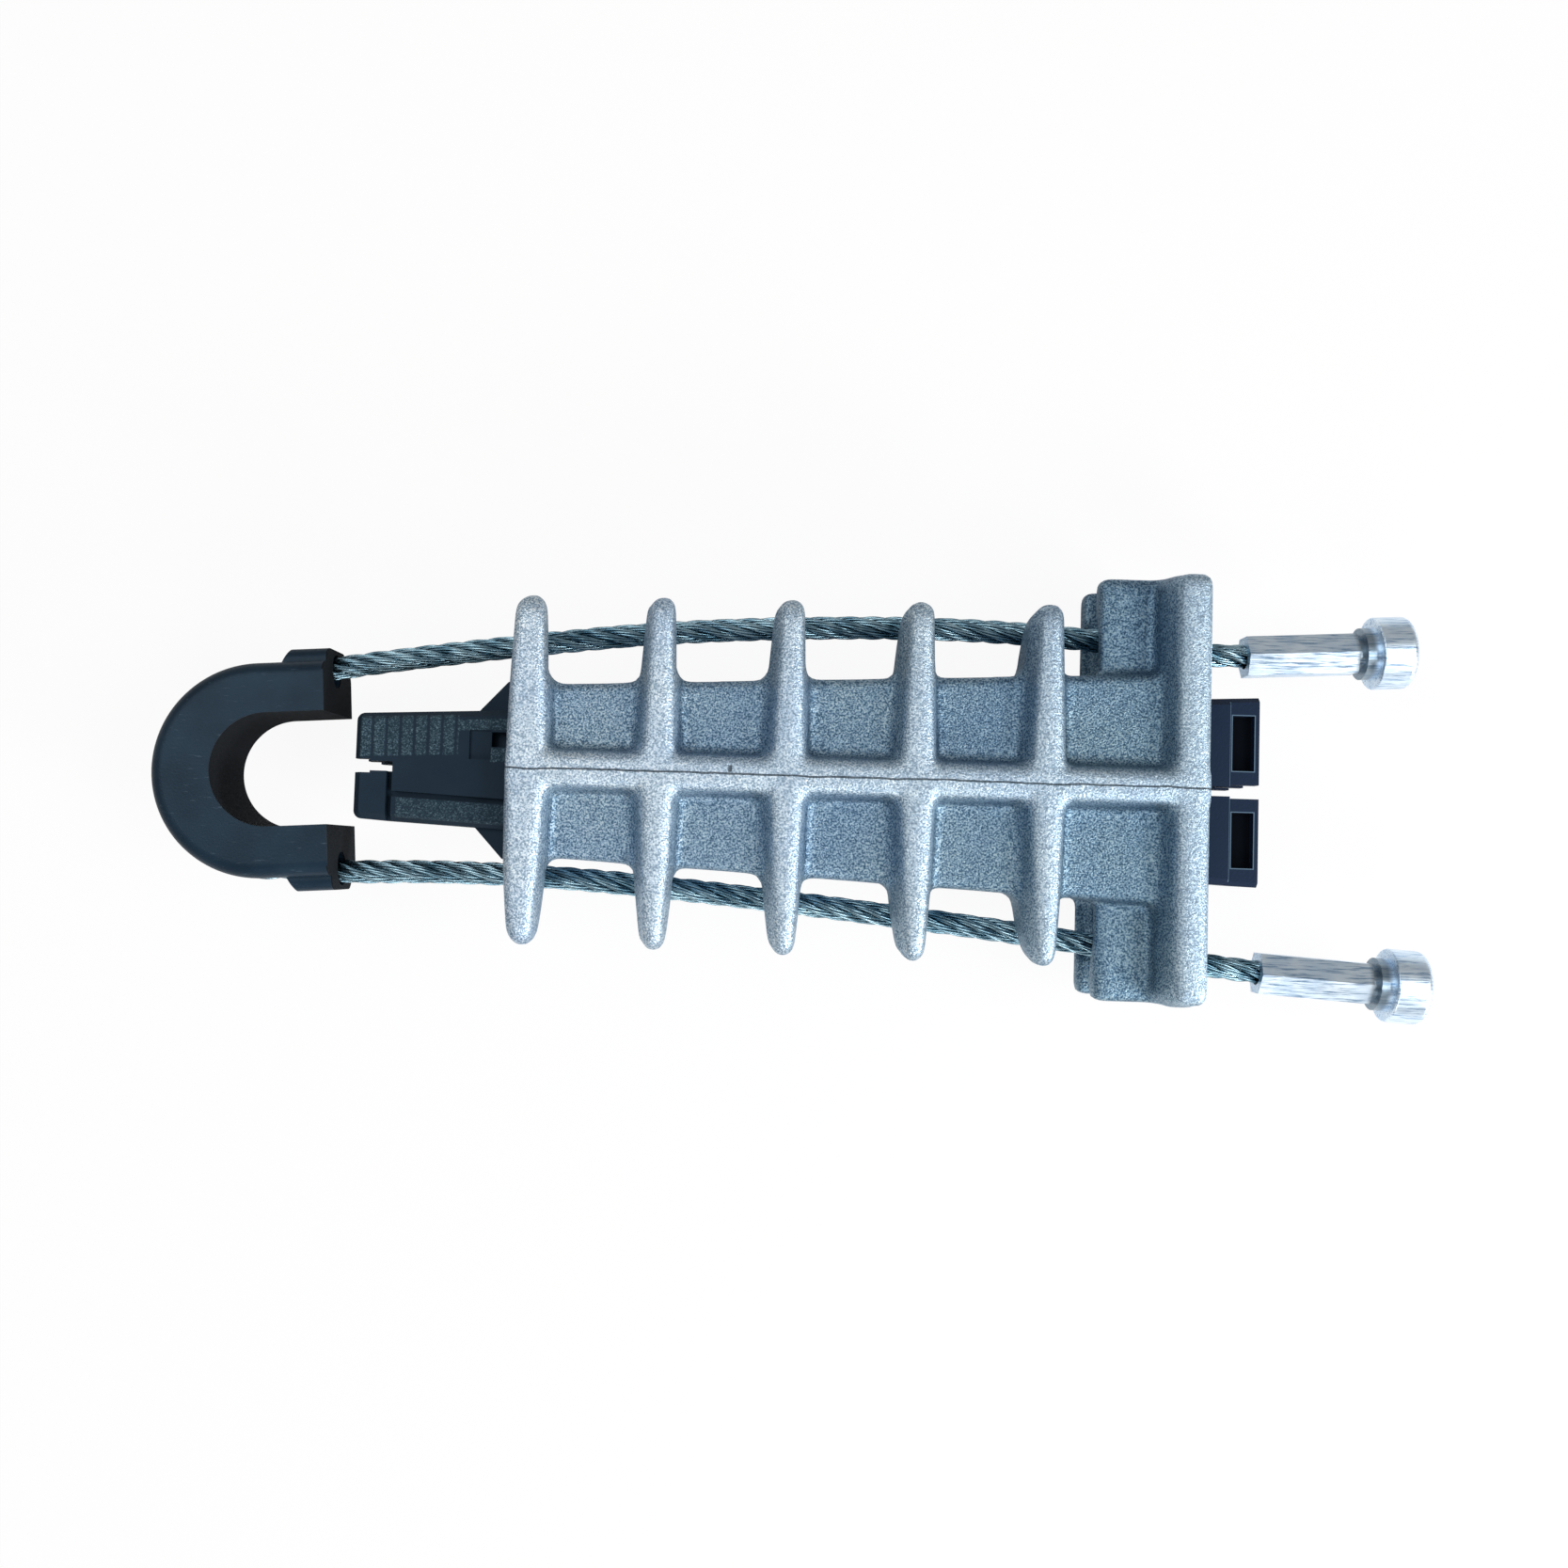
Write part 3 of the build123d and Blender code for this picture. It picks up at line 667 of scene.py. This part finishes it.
# %% [markdown]
# ## Sand-cast aluminium
# The body came out of a sand mould: its skin is a fine sparkling grain, coarser down in the
# panels between the ribs, where shade is painted darker. A highlight is painted brighter on the
# crests, and painted shade makes the skin a little darker towards the flange. The two halves of
# the mould met along the middle of the ridge, where a thin wavy line was left. Height above the
# cable axis tells crests from panels, so masks on Z paint the panels' shade and the crests'
# highlight.

# %% Cast finish
GRAIN = 0.46 * MM
CLUSTER = 1.9 * MM
CLOUD = 26 * MM
CASTING_HALF_LENGTH = 84 * MM
SHADE_TOP = 18.5 * MM
SHADE_RISE = 5.5 * MM
HIGHLIGHT_FROM = 23.5 * MM
HIGHLIGHT_RISE = 2.5 * MM
HIGHLIGHT_SHARE = 0.25
OUTSIDE_FROM = 15 * MM
SEAM_WAVE = 14 * MM
SEAM_WANDER = 1.6 * MM
SEAM_SHARE = 0.85
CLUSTER_RELIEF = 0.8
SEAM_RELIEF = 1.6
CAST_RELIEF = 0.21 * MM
# each band's centre, half width and soft edge
SEAM = (0.0, 0.10 * MM, 0.16 * MM)
NICK_ALONG = (-30.4 * MM, 0.25 * MM, 0.25 * MM)
NICK_ACROSS = (1.3 * MM, 0.6 * MM, 0.4 * MM)

cast_finish, tree, shader, place = start_finish("sand_cast_aluminium", metallic=0.8)
along, across, up = split_place(tree, place)
grain = add_noise(tree, place, GRAIN, roughness=0.6)
clusters = add_noise(tree, place, CLUSTER)
clouds = add_noise(tree, place, CLOUD)
speckle = add_ramp(
    tree, grain, (0.40, (0.15, 0.24, 0.33)), (0.51, (0.50, 0.64, 0.77)), (0.61, (0.97, 1.0, 1.0))
)
mottle = add_ramp(tree, clusters, (0.30, (0.72, 0.76, 0.80)), (0.70, (1.0, 1.0, 1.0)))
weather = add_ramp(tree, clouds, (0.35, (0.84, 0.90, 0.97)), (0.65, (1.0, 1.0, 0.98)))
# painted shade: the skin grows darker towards the flange
towards_flange = climb(tree, along, -CASTING_HALF_LENGTH, 2 * CASTING_HALF_LENGTH)
painted_flange_shade = add_ramp(tree, towards_flange, (0.10, (1.0, 1.0, 1.0)), (0.95, (0.60, 0.685, 0.72)))
skin = tint(tree, tint(tree, tint(tree, speckle, mottle), weather), painted_flange_shade)

height_above = add_math(tree, "ABSOLUTE", up)
# painted shade: the panels below the crests are tinted darker
raised = climb(tree, height_above, SHADE_TOP, SHADE_RISE)
skin = add_blend(tree, raised, tint(tree, skin, (0.54, 0.63, 0.69)), skin)
# painted highlight: the crests are blended brighter
crest_highlight = add_math(tree, "MULTIPLY", climb(tree, height_above, HIGHLIGHT_FROM, HIGHLIGHT_RISE), HIGHLIGHT_SHARE)
skin = add_blend(tree, crest_highlight, skin, (0.68, 0.80, 0.92))

wander = add_math(tree, "SUBTRACT", add_noise(tree, place, SEAM_WAVE, detail=4.0), 0.5)
wander = add_math(tree, "MULTIPLY", wander, SEAM_WANDER)
seam = band(tree, add_math(tree, "ADD", across, wander), *SEAM)
on_outside = add_math(tree, "GREATER_THAN", height_above, OUTSIDE_FROM)
nick = add_math(tree, "MULTIPLY", band(tree, along, *NICK_ALONG), band(tree, across, *NICK_ACROSS))
seam = add_math(tree, "MULTIPLY", add_math(tree, "MAXIMUM", seam, nick), on_outside)
skin = add_blend(tree, add_math(tree, "MULTIPLY", seam, SEAM_SHARE), skin, (0.05, 0.07, 0.09))
tree.links.new(skin, shader.inputs["Base Color"])

dull = add_ramp(tree, grain, (0.3, grey(0.52)), (0.7, grey(0.36)))
tree.links.new(dull, shader.inputs["Roughness"])
relief = add_math(tree, "ADD", grain, add_math(tree, "MULTIPLY", clusters, CLUSTER_RELIEF))
relief = add_math(tree, "SUBTRACT", relief, add_math(tree, "MULTIPLY", seam, SEAM_RELIEF))
add_bump(tree, shader, relief, CAST_RELIEF)
casting.data.materials.clear()
casting.data.materials.append(cast_finish)
print("casting is finished in", cast_finish.name)

# %% [markdown]
# ## Black plastic of the wedges
# The wedges are moulded in black weatherproof plastic with a slight blue-grey bloom. Just
# outside the casting the broad face has transverse bands of fine moulded grip on one side of the
# slit and a rough strip on the other, and the rest is smooth. The other half is the same
# moulding turned over, so the masks read the height and the distance from the slit with its
# sign turned over below the cable axis. Thin pale lines are painted highlights along the mould
# edges, the noses beyond the flange are painted a deeper navy as shade, and the pockets' floors
# are painted near black as shade.

# %% Wedge finish: masks of the moulded grip
BROAD_FACE = 13.6 * MM
BAND_PITCH = 3.4 * MM
BAND_GROOVE = 0.06
BAND_EDGE = 9.0
BANDS_FROM = -122.0 * MM
BANDS_TO = -97.6 * MM
RECESS_TO = -89.4 * MM
STRIP_FROM = -112.2 * MM
STRIP_SHARE = 0.7
PATCH_SOFT = 0.25 * MM
# how far from the slit each patch starts and ends
BANDED_WIDTH = (8.0 * MM, 17.6 * MM)
BESIDE_WIDTH = (13.9 * MM, 16.4 * MM)
CORNER_WIDTH = (6.0 * MM, 9.2 * MM)
STRIP_WIDTH = (12.9 * MM, 17.6 * MM)

wedge_finish, tree, shader, place = start_finish("wedge_plastic", metallic=0.0)
along, across, up = split_place(tree, place)
sloped_off = add_math(tree, "MULTIPLY", along, BOX_TAPER)
turned_over = add_math(tree, "MULTIPLY", across, add_math(tree, "SIGN", up))
from_slit = add_math(tree, "SUBTRACT", turned_over, sloped_off)
other_side = add_math(tree, "SUBTRACT", add_math(tree, "MULTIPLY", turned_over, -1.0), sloped_off)
on_face = add_math(tree, "GREATER_THAN", add_math(tree, "ABSOLUTE", up), BROAD_FACE)


def patch(start, end, distance, width):
    """1 on a patch of the broad faces, by its place along X and its distance from the slit."""
    lengthwise = band(tree, along, (start + end) / 2, (end - start) / 2, PATCH_SOFT)
    crosswise = band(tree, distance, (width[0] + width[1]) / 2, (width[1] - width[0]) / 2, PATCH_SOFT)
    return add_math(tree, "MULTIPLY", add_math(tree, "MULTIPLY", lengthwise, crosswise), on_face)


stripes = add_math(tree, "DIVIDE", add_math(tree, "SUBTRACT", along, BANDS_FROM), BAND_PITCH)
stripes = add_math(tree, "SUBTRACT", add_math(tree, "PINGPONG", stripes, 0.5), BAND_GROOVE)
stripes = add_math(tree, "MULTIPLY", stripes, BAND_EDGE, clamp=True)
banded = add_math(tree, "MULTIPLY", patch(BANDS_FROM, BANDS_TO, from_slit, BANDED_WIDTH), stripes)
beside = patch(BANDS_TO, -CASTING_HALF_LENGTH, from_slit, BESIDE_WIDTH)
corner = patch(RECESS_TO, -CASTING_HALF_LENGTH, from_slit, CORNER_WIDTH)
strip = patch(STRIP_FROM, -CASTING_HALF_LENGTH, other_side, STRIP_WIDTH)
gripped = add_math(tree, "MAXIMUM", add_math(tree, "MAXIMUM", banded, beside), corner)
gripped = add_math(tree, "MAXIMUM", gripped, add_math(tree, "MULTIPLY", strip, STRIP_SHARE))
print("grip bands:", round((BANDS_TO - BANDS_FROM) / BAND_PITCH, 1))

# %% Wedge finish: painted edge highlights and pocket shade
# each band's centre, half width and soft edge
NOSE_STEP = (91.6 * MM, 0.04 * MM, 0.12 * MM)
POCKET_LINE = (0.10 * MM, 0.06 * MM, 0.12 * MM)
# along the clamp and across it
POCKET_CENTRE = (94.9 * MM, 11.9 * MM)
POCKET_HALF = (2.7 * MM, 6.8 * MM)
POCKET_INSIDE = -0.05 * MM
POCKET_RIM = 13.0 * MM

step_line = band(tree, along, *NOSE_STEP)
aside = add_math(tree, "ABSOLUTE", across)
from_sides = []
for coordinate, centre, half in zip((along, aside), POCKET_CENTRE, POCKET_HALF):
    off_centre = add_math(tree, "ABSOLUTE", add_math(tree, "SUBTRACT", coordinate, centre))
    from_sides.append(add_math(tree, "SUBTRACT", off_centre, half))
from_pocket = add_math(tree, "MAXIMUM", *from_sides)
pocket_line = band(tree, from_pocket, *POCKET_LINE)
# painted highlight: pale lines along the nose step and round the pockets
painted_highlight = add_math(tree, "MULTIPLY", add_math(tree, "MAXIMUM", step_line, pocket_line), on_face)
# painted shade: the pockets' floors are made near black
below_rim = add_math(tree, "LESS_THAN", add_math(tree, "ABSOLUTE", up), POCKET_RIM)
in_pocket = add_math(tree, "LESS_THAN", from_pocket, POCKET_INSIDE)
pocket_shade = add_math(tree, "MULTIPLY", in_pocket, below_rim)
print("worn lines at the nose step and round the pockets")

# %% Wedge finish: colour, sheen and relief
WEDGE_BLOOM = 9 * MM
WEDGE_PORE = 0.5 * MM
FLECK = 0.38 * MM
NOSE_SHADE_SHARE = 0.75
HIGHLIGHT_LINE_SHARE = 0.7
PORE_RELIEF = 0.25
WEDGE_RELIEF = 0.18 * MM

bloom = add_noise(tree, place, WEDGE_BLOOM, detail=4.0)
pores = add_noise(tree, place, WEDGE_PORE)
flecks = add_noise(tree, place, FLECK, detail=3.0, roughness=0.7)
black = add_ramp(tree, bloom, (0.3, (0.008, 0.017, 0.029)), (0.75, (0.016, 0.030, 0.046)))
fleck_colour = add_ramp(
    tree, flecks, (0.40, (0.012, 0.026, 0.040)), (0.54, (0.035, 0.065, 0.085)), (0.66, (0.15, 0.23, 0.28))
)
# painted shade: the noses beyond the flange are made a deeper navy
nose = add_math(tree, "GREATER_THAN", along, CASTING_HALF_LENGTH)
black = add_blend(tree, add_math(tree, "MULTIPLY", nose, NOSE_SHADE_SHARE), black, (0.005, 0.011, 0.034))
moulded = add_blend(tree, gripped, black, fleck_colour)
moulded = add_blend(tree, add_math(tree, "MULTIPLY", painted_highlight, HIGHLIGHT_LINE_SHARE), moulded, (0.16, 0.25, 0.34))
moulded = add_blend(tree, pocket_shade, moulded, (0.001, 0.001, 0.002))
tree.links.new(moulded, shader.inputs["Base Color"])
sheen = add_ramp(tree, bloom, (0.3, grey(0.46)), (0.7, grey(0.60)))
sheen = add_blend(tree, pocket_shade, sheen, grey(0.95))
tree.links.new(sheen, shader.inputs["Roughness"])
shader.inputs["Specular IOR Level"].default_value = 0.22
shader.inputs["Specular Tint"].default_value = (0.50, 0.72, 1.0, 1)
relief = add_math(tree, "MULTIPLY", flecks, gripped)
relief = add_math(tree, "ADD", add_math(tree, "MULTIPLY", pores, PORE_RELIEF), relief)
add_bump(tree, shader, relief, WEDGE_RELIEF)
finish_node("wedge_upper", wedge_finish)
finish_node("wedge_lower", wedge_finish)

# %% [markdown]
# ## Saddle plastic
# The saddle is a smoother black, nearly slate under the window light, with a few pale scuffs
# where it was handled. Its eye and its legs' ends are painted near black as shade and made
# duller, so a mask measures the distance from the eye's long middle.

# %% Saddle finish
SADDLE_BLOOM = 12 * MM
SADDLE_PORE = 0.6 * MM
SCUFF = 0.8 * MM
SCUFF_TURN = radians(35)
SCUFF_STRETCH = 0.16
EYE_RADIUS = 14.6 * MM
SADDLE_FACE = 11.8 * MM
LEG_END = (LEG_LENGTH - 0.3) * MM
SADDLE_RELIEF = 0.05 * MM

saddle_finish, tree, shader, place = start_finish("slate_plastic", metallic=0.0)
bloom = add_noise(tree, place, SADDLE_BLOOM, detail=3.0)
pores = add_noise(tree, place, SADDLE_PORE)
drag = tree.nodes.new("ShaderNodeMapping")
drag.inputs["Rotation"].default_value = (0, 0, SCUFF_TURN)
drag.inputs["Scale"].default_value = (SCUFF_STRETCH, 1, 1)
tree.links.new(place, drag.inputs["Vector"])
scuffs = add_noise(tree, drag.outputs[0], SCUFF, detail=4.0, roughness=0.65)

along, across, up = split_place(tree, place)
from_x = add_math(tree, "SUBTRACT", along, SADDLE_CENTRE.x * MM)
from_y = add_math(tree, "SUBTRACT", across, SADDLE_CENTRE.y * MM)
ahead = add_math(tree, "ADD", from_x, add_math(tree, "MULTIPLY", from_y, SADDLE_TURN))
aside = add_math(tree, "SUBTRACT", from_y, add_math(tree, "MULTIPLY", from_x, SADDLE_TURN))
behind = add_math(tree, "MINIMUM", ahead, 0.0)
squares = [add_math(tree, "MULTIPLY", side, side) for side in (behind, aside)]
from_eye = add_math(tree, "SQRT", add_math(tree, "ADD", *squares))
in_eye = add_math(tree, "LESS_THAN", from_eye, EYE_RADIUS)
leg_end = add_math(tree, "GREATER_THAN", ahead, LEG_END)
below_face = add_math(tree, "LESS_THAN", add_math(tree, "ABSOLUTE", up), SADDLE_FACE)
shade_zone = add_math(tree, "MULTIPLY", add_math(tree, "MAXIMUM", in_eye, leg_end), below_face)

slate = add_ramp(tree, bloom, (0.3, (0.006, 0.016, 0.030)), (0.75, (0.013, 0.030, 0.050)))
scuffed = add_ramp(tree, scuffs, (0.62, grey(0)), (0.74, grey(0.45)))
slate = add_blend(tree, scuffed, slate, (0.10, 0.15, 0.19))
# painted shade: the eye's inner wall and the legs' end faces are made near black
slate = add_blend(tree, shade_zone, slate, (0.006, 0.006, 0.007))
tree.links.new(slate, shader.inputs["Base Color"])
polish = add_blend(tree, shade_zone, grey(0.42), grey(0.85))
tree.links.new(polish, shader.inputs["Roughness"])
shader.inputs["Specular IOR Level"].default_value = 0.25
shader.inputs["Specular Tint"].default_value = (0.62, 0.82, 1.0, 1)
add_bump(tree, shader, pores, SADDLE_RELIEF)
finish_node("saddle", saddle_finish)

# %% [markdown]
# ## Galvanised wire
# Zinc on drawn wire is bluish grey, with bright glints on the top of each wire and dull grey in
# the gaps. Patches along the rope differ a little.

# %% Wire finish
PATCH = 5 * MM
SPANGLE = 0.7 * MM
WIRE_RELIEF = 0.02 * MM

wire_finish, tree, shader, place = start_finish("galvanised_wire", metallic=1.0)
patches = add_noise(tree, place, PATCH, detail=3.0)
spangle = add_noise(tree, place, SPANGLE)
zinc = add_ramp(tree, patches, (0.35, (0.11, 0.22, 0.29)), (0.65, (0.38, 0.55, 0.63)))
tree.links.new(zinc, shader.inputs["Base Color"])
zinc_dull = add_ramp(tree, spangle, (0.3, grey(0.14)), (0.7, grey(0.30)))
tree.links.new(zinc_dull, shader.inputs["Roughness"])
add_bump(tree, shader, spangle, WIRE_RELIEF)
for piece in rope_pieces:
    piece.data.materials.clear()
    piece.data.materials.append(wire_finish)
print("rope is finished in", wire_finish.name)

# %% [markdown]
# ## Bright aluminium
# The stops are soft aluminium, pressed in a hexagonal die and turned at the head, so they are
# bright, with fine scratches along them and plain cut end faces. The neck before the head is
# painted darker as shade. Neck and end face are found by their distance from where the rope
# enters, measured along each stop, which leans a little outwards.

# %% Stop finish
ENTRY_MIDDLE = (UPPER_STOP[0][0] + LOWER_STOP[0][0]) / 2 * MM
ENTRY_SPREAD = (LOWER_STOP[0][0] - UPPER_STOP[0][0]) / 2 * MM
SIDE_MIDDLE = (UPPER_STOP[0][1] - LOWER_STOP[0][1]) / 2 * MM
SIDE_SPREAD = (UPPER_STOP[0][1] + LOWER_STOP[0][1]) / 2 * MM
OUTWARD_LEAN = sin(radians((UPPER_STOP[1] - LOWER_STOP[1]) / 2))
# the neck's centre, half width and soft edge
NECK = (29.6 * MM, 1.4 * MM, 1.2 * MM)
NECK_SHADE_SHARE = 0.7
END_FACE = 41.2 * MM
SCRATCH = 0.45 * MM
SCRATCH_STRETCH = 0.05
TARNISH = 6 * MM
SCRATCH_RELIEF = 0.05 * MM

stop_finish, tree, shader, place = start_finish("pressed_aluminium", metallic=1.0)
drag = tree.nodes.new("ShaderNodeMapping")
drag.inputs["Scale"].default_value = (SCRATCH_STRETCH, 1, 1)
tree.links.new(place, drag.inputs["Vector"])
scratches = add_noise(tree, drag.outputs[0], SCRATCH, detail=3.0, roughness=0.65)
tarnish = add_noise(tree, place, TARNISH)

along, across, _ = split_place(tree, place)
which = add_math(tree, "SIGN", across)
from_entry = add_math(tree, "SUBTRACT", along, ENTRY_MIDDLE)
from_entry = add_math(tree, "ADD", from_entry, add_math(tree, "MULTIPLY", which, ENTRY_SPREAD))
from_side = add_math(tree, "SUBTRACT", add_math(tree, "ABSOLUTE", across), SIDE_MIDDLE)
from_side = add_math(tree, "SUBTRACT", from_side, add_math(tree, "MULTIPLY", which, SIDE_SPREAD))
from_entry = add_math(tree, "ADD", from_entry, add_math(tree, "MULTIPLY", from_side, OUTWARD_LEAN))
drawn = add_math(tree, "LESS_THAN", from_entry, END_FACE)
neck = band(tree, from_entry, *NECK)

bright = add_ramp(tree, tarnish, (0.3, (0.62, 0.76, 0.90)), (0.7, (0.80, 0.90, 0.98)))
grooved = add_ramp(tree, scratches, (0.38, (0.40, 0.52, 0.66)), (0.50, (1.0, 1.0, 1.0)))
bright = add_blend(tree, drawn, (0.46, 0.55, 0.65), tint(tree, bright, grooved))
# painted shade: the neck before the head is blended darker
bright = add_blend(tree, add_math(tree, "MULTIPLY", neck, NECK_SHADE_SHARE), bright, (0.10, 0.15, 0.19))
tree.links.new(bright, shader.inputs["Base Color"])
stop_dull = add_ramp(tree, scratches, (0.3, grey(0.26)), (0.7, grey(0.42)))
tree.links.new(stop_dull, shader.inputs["Roughness"])
add_bump(tree, shader, add_math(tree, "MULTIPLY", scratches, drawn), SCRATCH_RELIEF)
finish_node("stop_upper", stop_finish)
finish_node("stop_lower", stop_finish)
